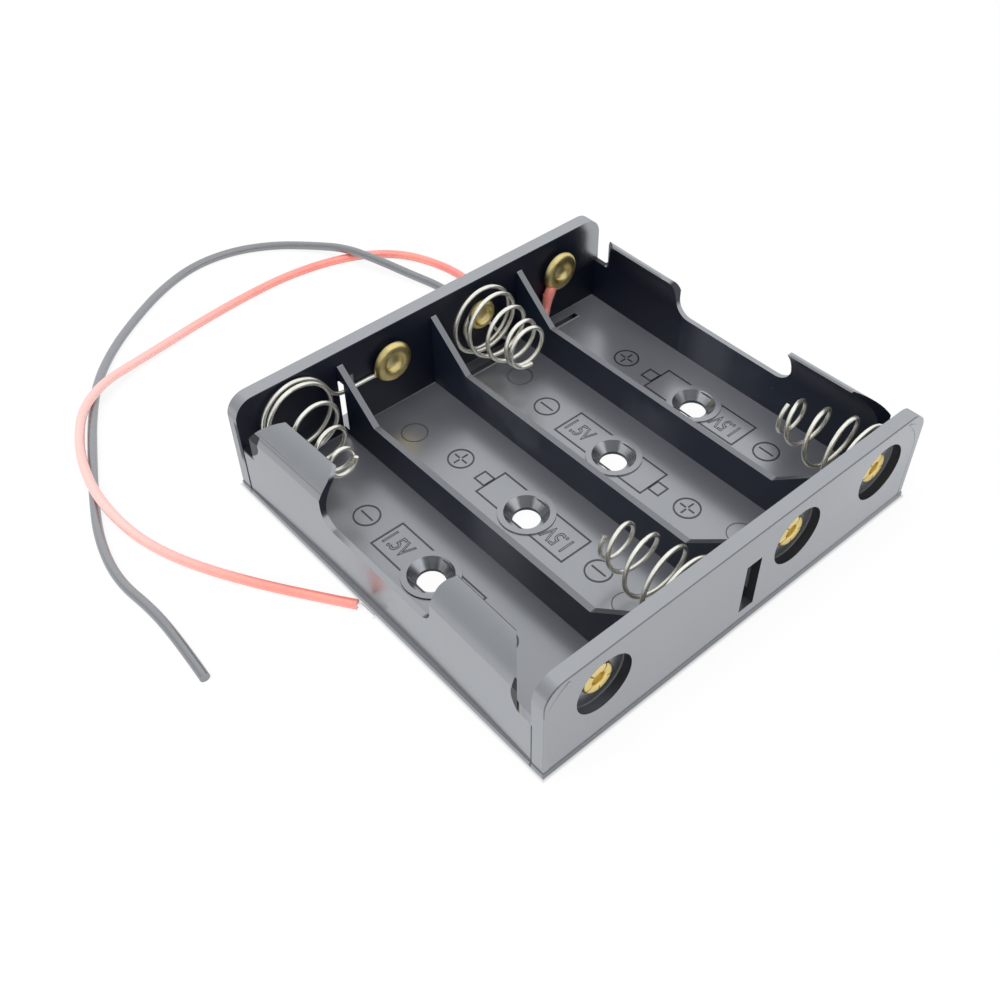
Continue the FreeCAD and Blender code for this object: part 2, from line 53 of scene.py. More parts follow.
floor_slot_y = 24.85
side_wall_x = 30.4
side_outer_x = 31.4
lip_end_y = 25.2
lip_end_foot = 7.8
lip_end_middle = 10.2
lip_end_top = 12.2
lip_end_slope = 1.15
foot_x = 31.5
foot_y = 29.5
lead_diameter = 1.3


# Objects

def new_object(name, data):
    piece = bpy.data.objects.new(name, data)
    bpy.context.scene.collection.objects.link(piece)
    return piece


def deselect():
    if bpy.context.object and bpy.context.object.mode != "OBJECT":
        bpy.ops.object.mode_set(mode="OBJECT")
    bpy.ops.object.select_all(action="DESELECT")


def choose(*pieces):
    """Selects these pieces alone and makes the first one active."""
    deselect()
    for piece in pieces:
        piece.select_set(True)
    bpy.context.view_layer.objects.active = pieces[0]


# Camera

def aim_camera(azimuth, elevation, roll, distance, right_shift, up_shift, lens):
    """A camera that faces the origin from that side, slid sideways and upward in millimetres."""
    a, e, r = math.radians(azimuth), math.radians(elevation), math.radians(roll)
    back = Vector((math.sin(a) * math.cos(e), -math.cos(a) * math.cos(e), math.sin(e)))
    level = Vector((0, 0, 1)).cross(back).normalized()
    upright = back.cross(level)
    right = math.cos(r) * level + math.sin(r) * upright
    up = -math.sin(r) * level + math.cos(r) * upright
    place = (back * distance + right * right_shift + up * up_shift) * mm
    data = bpy.data.cameras.new("camera")
    data.lens = lens
    data.sensor_width = 36
    data.clip_start = 0.005
    data.clip_end = 20
    camera = new_object("camera", data)
    camera.matrix_world = Matrix.Translation(place) @ Matrix((right, up, back)).transposed().to_4x4()
    bpy.context.scene.camera = camera


aim_camera(
    azimuth=-40.227, elevation=46.290, roll=-1.047, distance=154.892,
    right_shift=-9.040, up_shift=-1.355, lens=42.436,
)


# Leads

red_route = [
    (20.5, 26.65, 6.7), (20.3, 26.5, 5.6), (19.9, 26.2, 4.5), (19.2, 25.9, 3.4),
    (18.1, 25.7, 2.6), (17.3, 26.4, 2.15), (17.3, 28.0, 2.12), (17.3, 30.2, 2.1),
    (17.5, 33.0, 1.4), (18.1, 36.4, 0.8), (18.8, 40.4, 0.65), (19.4, 45.2, 0.65),
    (18.6, 50.4, 0.65), (16.2, 56.1, 0.65), (11.9, 60.1, 0.65), (6.0, 62.6, 0.65),
    (-1.4, 63.9, 0.65), (-9.0, 63.7, 0.65), (-17.0, 62.9, 0.65), (-24.8, 61.5, 0.75),
    (-31.0, 60.0, 1.2), (-36.4, 58.0, 2.15), (-41.3, 54.8, 2.15), (-44.4, 50.2, 1.3),
    (-46.5, 44.3, 2.15), (-47.8, 38.0, 2.15), (-47.4, 31.5, 1.0), (-45.9, 25.6, 0.65),
    (-43.3, 19.5, 0.65), (-39.9, 13.5, 0.65), (-36.3, 7.9, 0.65), (-32.5, 2.4, 0.65),
]
black_route = [
    (11.5, 26.65, 4.2), (12.3, 26.3, 3.4), (13.2, 25.8, 2.6), (13.9, 26.5, 2.15),
    (13.9, 28.1, 2.12), (13.9, 30.3, 2.1), (14.2, 33.0, 1.4), (14.7, 36.4, 0.8),
    (15.1, 40.4, 0.65), (15.0, 45.4, 0.65), (13.1, 50.8, 1.1), (10.6, 56.2, 2.3),
    (8.8, 62.1, 2.2), (6.3, 67.8, 0.9), (1.9, 72.5, 0.65), (-4.1, 75.6, 0.65),
    (-11.0, 76.3, 0.65), (-18.0, 74.1, 0.65), (-24.7, 70.3, 0.65), (-31.1, 65.8, 0.65),
    (-36.6, 60.3, 0.65), (-40.8, 53.6, 0.65), (-44.2, 47.0, 0.65), (-47.7, 39.9, 0.65),
    (-50.8, 32.6, 0.65), (-52.3, 25.0, 0.65), (-51.3, 17.7, 0.65), (-51.4, 11.0, 0.65),
    (-51.8, 5.3, 0.65),
]
# Where the eyelet squeezes the red jacket: the last stretch and its radii
red_end_route = [(20.05, 26.3, 4.9), (20.35, 26.45, 5.8), (20.75, 26.45, 6.8), (21.25, 26.5, 7.75)]
red_end_radii = [0.66, 0.74, 0.82, 0.8]


def smooth_tube(name, route, radius, shares, steps, roundness):
    """A round curve along the route. At each point it takes that point's share of the radius."""
    data = bpy.data.curves.new(name, "CURVE")
    data.dimensions = "3D"
    spline = data.splines.new("NURBS")
    spline.points.add(len(route) - 1)
    for point, place, share in zip(spline.points, route, shares):
        point.co = (*[v * mm for v in place], 1)
        point.radius = share
    spline.order_u = 3
    spline.use_endpoint_u = True
    spline.resolution_u = steps
    data.bevel_depth = radius * mm
    data.bevel_resolution = roundness
    data.use_fill_caps = True
    return new_object(name, data)


def lead_jacket(name, route):
    """A lead's insulation as one smooth round curve."""
    whole = [1] * len(route)
    return smooth_tube(name, route, lead_diameter / 2, shares=whole, steps=14, roundness=7)


def flattened_end(name, route, radii):
    """A jacket's last stretch, squeezed wide where the eyelet holds it."""
    choose(smooth_tube(name, route, 1, shares=radii, steps=10, roundness=6))
    bpy.ops.object.convert(target="MESH")
    return bpy.context.object


red_jacket = lead_jacket("red_jacket", red_route)
black_jacket = lead_jacket("black_jacket", black_route)
red_lead_end = flattened_end("red_lead_end", red_end_route, red_end_radii)


# Shader nodes

class Value:
    """A number from a shader node, which sums and products are written with."""

    def __init__(self, finish, socket):
        self.finish = finish
        self.socket = socket

    def math(self, operation, *others):
        node = self.finish.node("Math", {"operation": operation}, dict(enumerate((self, *others))))
        return Value(self.finish, node.outputs[0])

    def __add__(self, other):
        return self.math("ADD", other)

    def __sub__(self, other):
        return self.math("SUBTRACT", other)

    def __mul__(self, other):
        return self.math("MULTIPLY", other)

    def __rsub__(self, other):
        return self.math("MULTIPLY_ADD", -1, other)

    def __mod__(self, other):
        return self.math("FLOORED_MODULO", other)

    def __gt__(self, other):
        return self.math("GREATER_THAN", other)

    def __lt__(self, other):
        return self.math("LESS_THAN", other)

    __radd__ = __add__
    __rmul__ = __mul__

    def size(self):
        return self.math("ABSOLUTE")

    def larger(self, other):
        return self.math("MAXIMUM", other)

    def within(self, low, high):
        """1 between two places in millimetres, 0 outside them."""
        return (self > low * mm) * (self < high * mm)

    def between(self, low, high):
        """0 below low, 1 above high, and a soft step from one to the other."""
        settings = {"interpolation_type": "SMOOTHSTEP"}
        inputs = {"Value": self, "From Min": low, "From Max": high}
        return Value(self.finish, self.finish.node("MapRange", settings, inputs).outputs[0])

    def rise(self, low, high):
        """The soft step with both places in millimetres."""
        return self.between(low * mm, high * mm)


class Nodes:
    """A tree of shader nodes that are added one by one."""

    def __init__(self, owner):
        owner.use_nodes = True
        self.tree = owner.node_tree

    def node(self, kind, settings=None, inputs=None):
        node = self.tree.nodes.new("ShaderNode" + kind)
        for name, value in (settings or {}).items():
            setattr(node, name, value)
        for name, value in (inputs or {}).items():
            self.feed(node.inputs[name], value)
        return node

    def feed(self, socket, value):
        if isinstance(value, Value):
            value = value.socket
        if isinstance(value, bpy.types.NodeSocket):
            self.tree.links.new(value, socket)
        elif isinstance(value, tuple) and len(value) == 3 and socket.type == "RGBA":
            socket.default_value = (*value, 1)
        else:
            socket.default_value = value

    def value(self, node, output=0):
        return Value(self, node.outputs[output])

    def split(self, vector):
        parts = self.node("SeparateXYZ", None, {0: vector})
        return [Value(self, part) for part in parts.outputs]

    def mix(self, factor, first, second):
        """A colour between two. Sockets 6 and 7 are the node's colours."""
        inputs = {0: factor, 6: first, 7: second}
        return self.node("Mix", {"data_type": "RGBA"}, inputs).outputs[2]

    def seen_rays(self):
        """What the camera sees itself, in a mirror or through glass, and what it sees in a mirror."""
        path = self.node("LightPath")
        mirrored = self.value(path, "Is Glossy Ray")
        through = self.value(path, "Is Transmission Ray")
        return self.value(path, "Is Camera Ray").larger(mirrored).larger(through), mirrored


class Finish(Nodes):
    """A material: its main shader, the place on the piece, and its patterns."""

    def __init__(self, name, **constants):
        self.material = bpy.data.materials.new(name)
        super().__init__(self.material)
        self.shader = self.tree.nodes["Principled BSDF"]
        self.place = self.node("TexCoord").outputs["Object"]
        self.set(**constants)

    def set(self, **inputs):
        for name, value in inputs.items():
            self.feed(self.shader.inputs[name.replace("_", " ")], value)

    def noise(self, scale, detail=3, roughness=0.5, place=None):
        inputs = {"Vector": place or self.place, "Scale": scale, "Detail": detail, "Roughness": roughness}
        return self.value(self.node("TexNoise", None, inputs))

    def stretched(self, scale):
        return self.node("Mapping", None, {"Vector": self.place, "Scale": scale}).outputs[0]

    def bump(self, height, distance, strength):
        inputs = {"Height": height, "Distance": distance, "Strength": strength}
        self.set(Normal=self.node("Bump", None, inputs).outputs[0])


# The housing's finish

# Its tones, from the darkest to the palest; many of them are painted shade, painted reflections and painted
# highlights
shade_line_black = (0.004, 0.004, 0.005)
far_wall_shade_black = (0.003, 0.005, 0.014)
wall_black = (0.006, 0.010, 0.021)
hollow_shade_black = (0.010, 0.011, 0.014)
open_black = (0.024, 0.026, 0.031)
wall_reflection_grey = (0.046, 0.051, 0.064)
lit_recess_grey = (0.06, 0.065, 0.08)
floor_reflection_grey = (0.102, 0.105, 0.120)
lit_top_grey = (0.11, 0.112, 0.118)
right_floor_reflection_grey = (0.145, 0.149, 0.168)
end_reflection_grey = (0.17, 0.175, 0.185)
highlight_grey = (0.26, 0.27, 0.285)
sliver_reflection_grey = (0.33, 0.34, 0.36)
dust_and_highlight_grey = (0.45, 0.44, 0.42)


class Moulding(Finish):
    """The glossy black plastic. Each of its marks is 1 on a part of the housing and 0 elsewhere; most of them
    place painted light and shade.
    """

    def __init__(self, name, **constants):
        super().__init__(name, **constants)
        self.at = self.split(self.place)
        self.facing = self.split(self.node("NewGeometry").outputs["Normal"])
        self.across_bay = self.at[0] % (row_pitch * mm) - row_pitch / 2 * mm

    def outsides(self):
        """The outer faces of the side walls, and those of the end walls."""
        x, y, z = self.at
        nx, ny, nz = self.facing
        side = (x.math("SIGN") * nx).between(0.4, 0.8) * (x.size() > side_wall_x * mm)
        end = (y.math("SIGN") * ny).between(0.4, 0.8) * (y.size() > (recess_floor_y - 0.15) * mm)
        return side, end

    def recess_walls(self):
        """The walls of the recesses that the eyelets' tails lie in."""
        x, y, z = self.at
        deep = y.size().within(wall_inner_y + 0.25, wall_outer_y - 0.01)
        return deep * z.within(4, 14.2) * (self.facing[1].size() < 0.4) * (x.size() < 29 * mm)

    def lip_gaps(self):
        """The shaded gaps between the lips' ends and the back wall."""
        x, y, z = self.at
        return (x.size() > 29.8 * mm) * y.within(25, wall_inner_y - 0.01) * z.within(7.5, 9.6)

    def lit_corner(self):
        """The back wall's corner past row d, which faces the light."""
        x, y, z = self.at
        corner = x.rise(26, 29.2) * z.rise(7, 9) * (y > (wall_inner_y - 0.15) * mm)
        return corner * (self.facing[1] < -0.5)

    def slivers(self):
        """The slivers that stand a little proud of the end walls' outer faces."""
        x, y, z = self.at
        return (y.size() > (wall_outer_y - 0.005) * mm) * (z > 2 * mm) * (self.facing[1].size() < 0.9)

    def highlight_lines(self, floors, recess):
        """Painted highlights: thin pale lines by the floor slots, at the end walls' feet and deep in the
        recesses.
        """
        x, y, z = self.at
        slots = x.within(0.4, 9.8) + x.within(16.0, 25.4)
        slot_edge = slots * floors * y.within(floor_slot_y - 0.23, floor_slot_y + 0.01)
        foot_edge = floors * y.size().within(wall_inner_y - 0.18, wall_inner_y + 0.01)
        recess_edge = recess * (y.size() < (recess_floor_y + 0.15) * mm)
        return (0.75 * slot_edge).larger(0.3 * foot_edge).larger(0.3 * recess_edge)

    def front_edge(self):
        """A painted shade line on the front wall's outer edge, clearest on top and round the near corner."""
        x, y, z = self.at
        edge = y.within(0.01 - wall_outer_y, 0.21 - wall_outer_y) * (z > 1.2 * mm)
        clear = (z > (wall_height - 0.15) * mm).larger((x < -27 * mm) * (z > 11 * mm))
        return edge * (self.facing[1].size() < 0.5) * (0.3 + 0.7 * clear)

    def lip_ends(self, outer_side):
        """Painted shade on the bowed ends of the lips, reaching deeper at the back."""
        x, y, z = self.at
        at_back = y > 0
        slant = (x.size() - side_outer_x * mm) * lip_end_slope
        to_end = lip_end_y * mm + slant - y.size()
        upward = (z - lip_end_middle * mm - at_back * 0.5 * mm) * (1 / (2.4 * mm))
        depth = (1.0 * mm + at_back * 0.8 * mm) * (1 - upward * upward)
        near = z.within(lip_end_foot, lip_end_top) * y.size().within(20, wall_inner_y - 0.15)
        return outer_side * near * (to_end < depth)

    def corner_creases(self, outer_side):
        """Painted shade in the creases where the side walls meet the end walls."""
        x, y, z = self.at
        crease = y.size().within(wall_inner_y - 0.1, wall_inner_y + 0.15)
        return outer_side * crease * (z < (lip_end_foot + 0.1) * mm)

    def back_corner(self, outer_side):
        """A strip of painted shade at the left side wall's back end."""
        x, y, z = self.at
        strip = outer_side * (x < 0) * y.within(wall_inner_y - 0.15, wall_inner_y + 0.75)
        return strip * z.rise(5, 6.5) * (1 - z.rise(11.5, 12.5))

    def bend_lines(self, outer_side):
        """Two faint lines of painted dark reflection along the left and right lips' outer bends, in the back
        half.
        """
        x, y, z = self.at
        lower = (z - 12.05 * mm).size() < 0.1 * mm
        upper = (z - 12.4 * mm).size() < 0.07 * mm
        return outer_side * lower.larger(upper) * y.within(5, 24)

    def screw_holes(self):
        """The sinks, a painted highlight on each, painted shade beside it, and the bosses' sides."""
        x, y, z = self.at
        nx, ny, nz = self.facing
        near = y.size() < 5 * mm
        sink = (nz > 0.5) * (nz < 0.85) * (z < (boss_height - 0.02) * mm) * near
        turned = nx * -0.91 + ny * -1.09
        sink_highlight = sink * turned.between(0.4, 0.7) * (1 - turned.between(0.86, 0.96))
        sink_shade = sink * turned.between(0.86, 0.96)
        boss = z.within(floor_height - 0.02, boss_height + 0.02) * (nz < 0.5) * near
        boss = boss * (x > -16 * mm) * (self.across_bay.size() < 5 * mm)
        return sink_highlight, sink_shade, boss

    def dust(self):
        """Specks that lie in patches."""
        grains = self.node("TexVoronoi", None, {"Vector": self.place, "Scale": 420})
        grains = (0.05 - self.value(grains, "Distance")).between(0.0, 0.03)
        return grains * self.noise(90, 2).between(0.58, 0.66)

    def bay_walls(self):
        """The tone of the bays' dark walls, with painted reflections in places and painted shade on the back
        wall's inner face and at the back of the right wall.
        """
        x, y, z = self.at
        # Painted reflections: pale patches by noise in the back half, on the first partition and on the right
        # wall
        wall_reflections = self.noise(95, 3, 0.5).between(0.48, 0.66) * 0.6
        wall_reflections = wall_reflections * (x > -10 * mm) * y.rise(-8, 0)
        first_partition = x.within(-17, -15) * y.rise(-14, -5) * (1 - y.rise(-3, 3))
        right_wall = (x > 27 * mm) * y.rise(-3, 2) * (1 - y.rise(4, 9))
        wall_reflections = wall_reflections.larger(first_partition).larger(right_wall)
        tone = self.mix(wall_reflections, wall_black, wall_reflection_grey)
        # Painted shade: the back wall's inner face and the back of the right wall are painted darker
        darker = (self.facing[1] < -0.5).larger((x > 27 * mm) * (y > 9 * mm))
        return self.mix(darker, tone, far_wall_shade_black)


def moulded_black():
    """Glossy black moulding: outer faces and floors mirror what is round it; the bays' walls get no coat and
    stay dark as painted shade, and painted reflections, highlights and shade are laid on by place.
    """
    finish = Moulding("housing_black", Coat_IOR=4.3, Coat_Roughness=0.27, Specular_IOR_Level=0.5)
    x, y, z = finish.at
    nz = finish.facing[2]
    outer_side, outer_end = finish.outsides()
    recess = finish.recess_walls()
    # Painted shade: the recess walls and the gaps by the lips' ends are painted near black and get no coat
    shaded_hollows = recess.larger(finish.lip_gaps())
    open_faces = nz.between(0.1, 0.55).larger(outer_side).larger(outer_end).larger(finish.lit_corner())
    open_faces = open_faces * (1 - shaded_hollows)
    floors = nz.between(0.8, 0.95) * (z < 2 * mm)
    partition_tops = (z > 6 * mm) * (y.size() < (wall_inner_y - 0.05) * mm) * (x.size() < 18 * mm)
    wall_tops = (z > (wall_height - 0.15) * mm) * (y.size() > (wall_inner_y - 0.05) * mm)
    ledges = (z < 0.8 * mm) * (x.size() > side_wall_x * mm) * (y.size() < (wall_outer_y - 0.05) * mm)
    # Painted shade: the base plate's sides, for the shadow at its foot
    plate_edge = (y.size() > (foot_y - 0.1) * mm).larger(0.5 * (x.size() > (foot_x - 0.05) * mm))
    plate_edge = (z < 0.65 * mm) * plate_edge
    slivers = finish.slivers()
    sink_highlight, sink_shade, boss_sides = finish.screw_holes()
    # Painted shade: dark lines on the front edge, in the corner creases, on the lips' ends and at the left
    # back corner
    shade_lines = (0.6 * finish.front_edge()).larger(finish.corner_creases(outer_side))
    shade_lines = shade_lines.larger(finish.lip_ends(outer_side)).larger(finish.back_corner(outer_side))

    # Painted shade: the bays' walls take darker tones than the open faces
    colour = finish.mix(open_faces, finish.bay_walls(), open_black)
    # Painted reflection: the end walls' outer faces grow lighter towards the right and the top
    end_reflection = 0.5 * x.rise(-8, 30) + (0.15 + 0.35 * x.rise(8, 32)) * z.rise(2, 13)
    colour = finish.mix(outer_end * end_reflection, colour, end_reflection_grey)
    # Painted reflection: the floors are painted lighter, and lighter still in row d
    colour = finish.mix(floors * (1 - shaded_hollows), colour, floor_reflection_grey)
    colour = finish.mix(floors * (x > 16 * mm), colour, right_floor_reflection_grey)
    # Painted light: the walls' tops and the ledges by the base plate are painted a lighter grey
    colour = finish.mix((wall_tops * 0.3).larger(ledges * 0.4), colour, lit_top_grey)
    # Painted shade in the recesses and the gaps by the lips' ends
    colour = finish.mix(shaded_hollows, colour, hollow_shade_black)
    # Painted light on the upward faces of the first recess
    lit_first_recess = recess * (nz > 0.1) * (1 - x.rise(-24.5, -19.5))
    colour = finish.mix(lit_first_recess, colour, lit_recess_grey)
    # Painted highlight on each sink; the bosses' sides take the same light grey
    colour = finish.mix((0.7 * sink_highlight).larger(boss_sides), colour, highlight_grey)
    # Painted highlights along edges, and specks of dust
    colour = finish.mix(finish.highlight_lines(floors, recess).larger(finish.dust() * 0.3), colour, dust_and_highlight_grey)
    # Painted shade along those dark lines
    colour = finish.mix(shade_lines, colour, shade_line_black)
    # Painted reflection: the slivers are painted light grey in place of the wall's reflected tone, and get no
    # coat
    colour = finish.mix(slivers, colour, sliver_reflection_grey)

    # Painted shade on the floors' back corners by the partitions, in rows a, b and d
    far_corners = finish.across_bay.rise(-1, 5) * y.rise(16, 25) * (x < 0).larger(x > 16 * mm)
    # Painted shade: less coat on the partitions' tops, the base plate's sides, the slivers, beside the sinks,
    # on the dark lines, on the lips' bends and on the floors
    coat_shade = (0.5 * partition_tops).larger(0.6 * plate_edge).larger(slivers).larger(0.7 * sink_shade)
    coat_shade = coat_shade.larger(0.96 * shade_lines).larger(0.2 * finish.bend_lines(outer_side))
    coat_shade = coat_shade.larger(floors * (0.2 + 0.1 * (x < -16 * mm))).larger(0.6 * floors * far_corners)
    cloud = finish.noise(160, 4, 0.6)
    # Painted shade: the coat, which carries the reflections, goes only on the open faces and is weakened by
    # place
    coat = open_faces * (1 - coat_shade) * (0.88 + 0.12 * cloud)
    finish.set(Base_Color=colour, Coat_Weight=coat, Roughness=0.36 + 0.16 * cloud)
    fine = finish.noise(2600, 3, 0.6)
    drawn = finish.noise(900, 2, 0.5, finish.stretched((1.0, 0.12, 1.0)))
    finish.bump(fine * 0.4 + drawn * 0.6, 0.000004, 0.6)
    return finish.material


# The other finishes

def moulded_mark():
    """The same moulding where its raised lines are cut rougher and read darker."""
    finish = Finish("moulded_mark", Roughness=0.5, Coat_IOR=2.2, Coat_Roughness=0.3)
    cloud = finish.noise(700, 3, 0.6)
    colour = finish.mix(cloud, (0.006, 0.007, 0.009), (0.014, 0.015, 0.018))
    finish.set(Base_Color=colour, Coat_Weight=0.25 + 0.3 * cloud, Roughness=0.4 + 0.2 * cloud)
    finish.bump(finish.noise(5000, 2), 0.000004, 0.6)
    return finish.material


def metal(name, metallic, pale, dark, smooth, rough, scratches, depth):
    """Plated or bare metal with drawn scratches and small stains."""
    finish = Finish(name, Metallic=metallic)
    cloud = finish.noise(400, 4, 0.65)
    lines = finish.noise(scratches, 3, 0.6, finish.stretched((1.0, 0.25, 0.6)))
    colour = finish.mix(cloud.between(0.42, 0.75), pale, dark)
    finish.set(Base_Color=colour, Roughness=smooth + (rough - smooth) * lines)
    finish.bump(lines, depth, 0.3)
    return finish.material


# An eyelet's petals and radii
petals = 5
petal_start = 0.2
cup_radius = 1.15
tail_bore_radius = 0.86
tail_rim_radius = 2.02


def eyelet_brass(name):
    """Stained brass with a painted highlight in the cup, and a rolled tail that split into petals; the
    splits, the rim past the petals and the bore are painted dark as shade.
    """
    low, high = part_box(name)
    finish = Finish(name + "_brass")
    x, y, z = finish.split(finish.place)
    across = x - (low[0] + high[0]) / 2
    upward = z - (low[2] + high[2]) / 2
    radius = (across * across + upward * upward).math("SQRT")
    petal = (upward.math("ARCTAN2", across) * (petals / math.tau) + (petals + petal_start)) % 1
    tail = y.size() > (recess_floor_y + 0.05) * mm
    split = tail * (radius > cup_radius * mm) * ((petal - 0.5).size() > 0.46)
    rim = tail * (radius > tail_rim_radius * mm)
    bore = tail * (radius < tail_bore_radius * mm)
    # Painted highlight: the cup's middle is painted a pale gold
    cup = (1 - tail) * (1 - radius.rise(cup_radius, cup_radius + 0.15))
    cloud = finish.noise(500, 4, 0.65)
    scratched = finish.noise(2200, 3, 0.6, finish.stretched((1.0, 0.6, 0.3)))
    colour = finish.mix(cloud.between(0.4, 0.7), (0.94, 0.77, 0.34), (0.68, 0.53, 0.20))
    colour = finish.mix(tail * 0.8, colour, (0.95, 0.73, 0.26))
    colour = finish.mix(cup * 0.7, colour, (0.98, 0.86, 0.50))
    # Painted shade: the splits between the petals, the tail's rim and the bore are painted near black and
    # lose most of their metal
    dark = (0.9 * split).larger(0.75 * rim).larger(bore)
    colour = finish.mix(dark, colour, (0.03, 0.02, 0.01))
    finish.set(Base_Color=colour, Roughness=0.30 + 0.22 * scratched, Metallic=1 - 0.7 * dark)
    finish.bump(scratched + 2 * (1 - split) * tail, 0.00001, 0.5)
    return finish.material


def insulation(name, colour, shade, pale_tone, coat_ior):
    """Smooth soft plastic round a lead, rubbed in patches, and lighter on the left loops and higher up."""
    finish = Finish(name, Coat_IOR=coat_ior, Coat_Roughness=0.25, Coat_Weight=1.0)
    x, y, z = finish.split(finish.place)
    # Lighter on the left loops and higher up
    pale = y.rise(8, 35) * (1 - x.rise(-40, 5))
    pale = pale.larger(0.35 * z.rise(3, 5))
    wave = finish.noise(220, 3, 0.55)
    rub = finish.noise(1400, 3, 0.6)
    tone = finish.mix(wave.between(0.3, 0.75), colour, shade)
    finish.set(Base_Color=finish.mix(pale, tone, pale_tone), Roughness=0.36 + 0.22 * rub)
    finish.bump(wave * 0.8 + rub * 0.2, 0.000008, 0.3)
    return finish.material


housing_black = moulded_black()
mark_black = moulded_mark()
nickel = metal(
    "spring_nickel", metallic=0.85, pale=(0.97, 0.94, 0.84), dark=(0.86, 0.82, 0.71),
    smooth=0.2, rough=0.3, scratches=2600, depth=0.000001,
)
tin = metal(
    "strands_tinned", metallic=0.6, pale=(0.95, 0.95, 0.93), dark=(0.80, 0.79, 0.76),
    smooth=0.25, rough=0.4, scratches=3000, depth=0.000002,
)
red_plastic = insulation(
    "lead_red", colour=(0.95, 0.22, 0.14), shade=(0.90, 0.16, 0.11), pale_tone=(1.0, 0.48, 0.42), coat_ior=2.6,
)
black_plastic = insulation(
    "lead_black", colour=(0.055, 0.055, 0.058), shade=(0.035, 0.035, 0.038),
    pale_tone=(0.085, 0.085, 0.09), coat_ior=3.2,
)


def dress(piece, material):
    """The piece wears one material on all its slots."""
    if not piece.data.materials:
        piece.data.materials.append(material)
    for slot in piece.material_slots:
        slot.material = material


for name, piece in nodes.items():
    if name == "holder_body":
        dress(piece, housing_black)
    elif name.startswith("eyelet"):
        dress(piece, eyelet_brass(name))
    elif name.startswith("spring"):
        dress(piece, nickel)
    elif name.endswith(("clamped_end", "bare_tip")):
        dress(piece, tin)
dress(red_jacket, red_plastic)
dress(black_jacket, black_plastic)
dress(red_lead_end, red_plastic)
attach(red_lead_end, "root")
for jacket, colour in ((red_jacket, "red"), (black_jacket, "black")):
    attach(jacket, "root")
    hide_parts(colour + "_lead")


# Marks moulded in the bays' floors

mark_line = 0.23
mark_height = 0.09
sign_radius = 1.85
plus_reach = 1.2
minus_length = 2.4
cell_width = 5.25
cell_length = 16.4
cell_shift = 0.2
nub_width = 2.1
voltage_y = 6.35
voltage_height = 2.5
voltage_line = 0.13
ejector_line = 0.12
ejector_height = 0.04
ejector_places = ((-9.2, 20.9), (9.4, 20.2), (-8.8, -19.3), (9.8, -20.8))


def settle(piece, name):
    """Gives a finished piece its name and puts its place into its mesh."""
    choose(piece)
    bpy.ops.object.transform_apply(location=True, rotation=True, scale=True)
    piece.name = name
    piece.data.name = name
    return piece


def raise_lines(piece, height):
    """Turns a flat outline into a low raised line."""
    choose(piece)
    modifier = piece.modifiers.new("height", "SOLIDIFY")
    modifier.thickness = height * mm
    modifier.offset = 0
    bpy.ops.object.modifier_apply(modifier=modifier.name)


def hollow_outline(width):
    """Keeps only a border of that width of the new flat face."""
    bpy.ops.object.mode_set(mode="EDIT")
    bpy.ops.mesh.select_all(action="SELECT")
    bpy.ops.mesh.inset(thickness=width * mm)
    bpy.ops.mesh.delete(type="FACE")
    bpy.ops.object.mode_set(mode="OBJECT")


def rectangle_mark(x, y, width, length, line=None):
    """A flat rectangle on the floor, or its outline where a line's width is given."""
    deselect()
    bpy.ops.mesh.primitive_plane_add(size=1, location=(x * mm, y * mm, floor_height * mm))
    piece = bpy.context.object
    piece.scale = (width * mm, length * mm, 1)
    bpy.ops.object.transform_apply(scale=True)
    if line:
        hollow_outline(line)
    return piece


def ring_mark(x, y, line):
    """A flat ring on the floor, the size of a sign's circle."""
    deselect()
    bpy.ops.mesh.primitive_circle_add(
        vertices=48, radius=sign_radius * mm, fill_type="NGON",
        location=(x * mm, y * mm, floor_height * mm),
    )
    piece = bpy.context.object
    hollow_outline(line)
    return piece


def lettering_mark(text, x, y, turn):
    """Letters as thin raised outlines."""
    deselect()
    bpy.ops.object.text_add(location=(x * mm, y * mm, floor_height * mm), rotation=(0, 0, math.radians(turn)))
    piece = bpy.context.object
    piece.data.body = text
    piece.data.size = voltage_height * 1.4 * mm
    piece.data.align_x = "CENTER"
    piece.data.align_y = "CENTER"
    piece.data.fill_mode = "NONE"
    piece.data.bevel_depth = voltage_line / 2 * mm
    piece.data.bevel_resolution = 1
    piece.data.resolution_u = 4
    piece.scale = (0.68, 1.0, 1.0)
    bpy.ops.object.convert(target="MESH")
    return bpy.context.object


def joined(pieces, name, height, letters=()):
    """Flat marks, raised, and letters as one piece."""
    for piece in pieces:
        raise_lines(piece, height)
    choose(*pieces, *letters)
    bpy.ops.object.join()
    return settle(bpy.context.object, name)


def plus_sign(x, y):
    """Four short arms that leave a small gap where they would cross."""
    arm = plus_reach - mark_line
    middle = (plus_reach + mark_line) / 2
    return [
        rectangle_mark(x - middle, y, arm, mark_line), rectangle_mark(x + middle, y, arm, mark_line),
        rectangle_mark(x, y - middle, mark_line, arm), rectangle_mark(x, y + middle, mark_line, arm),
    ]


def row_marks(row, way, plus, minus, cell_middle, nub_length):
    """Signs, cell outline and voltage of a row. way is 1 where the plus end is at +Y."""
    x = row_x[row]
    nub_middle = cell_middle + way * (cell_length + nub_length) / 2
    marks = [
        rectangle_mark(x + cell_shift, cell_middle, cell_width, cell_length, mark_line),
        rectangle_mark(x, nub_middle, nub_width, nub_length + mark_line, mark_line),
        ring_mark(*plus, mark_line),
        ring_mark(*minus, mark_line),
        rectangle_mark(*minus, mark_line, minus_length),
    ]
    marks += plus_sign(*plus)
    letters = [lettering_mark("1.5V", x, -voltage_y * way, 90 * way)]
    return joined(marks, "row_" + row + "_marks", mark_height, letters)


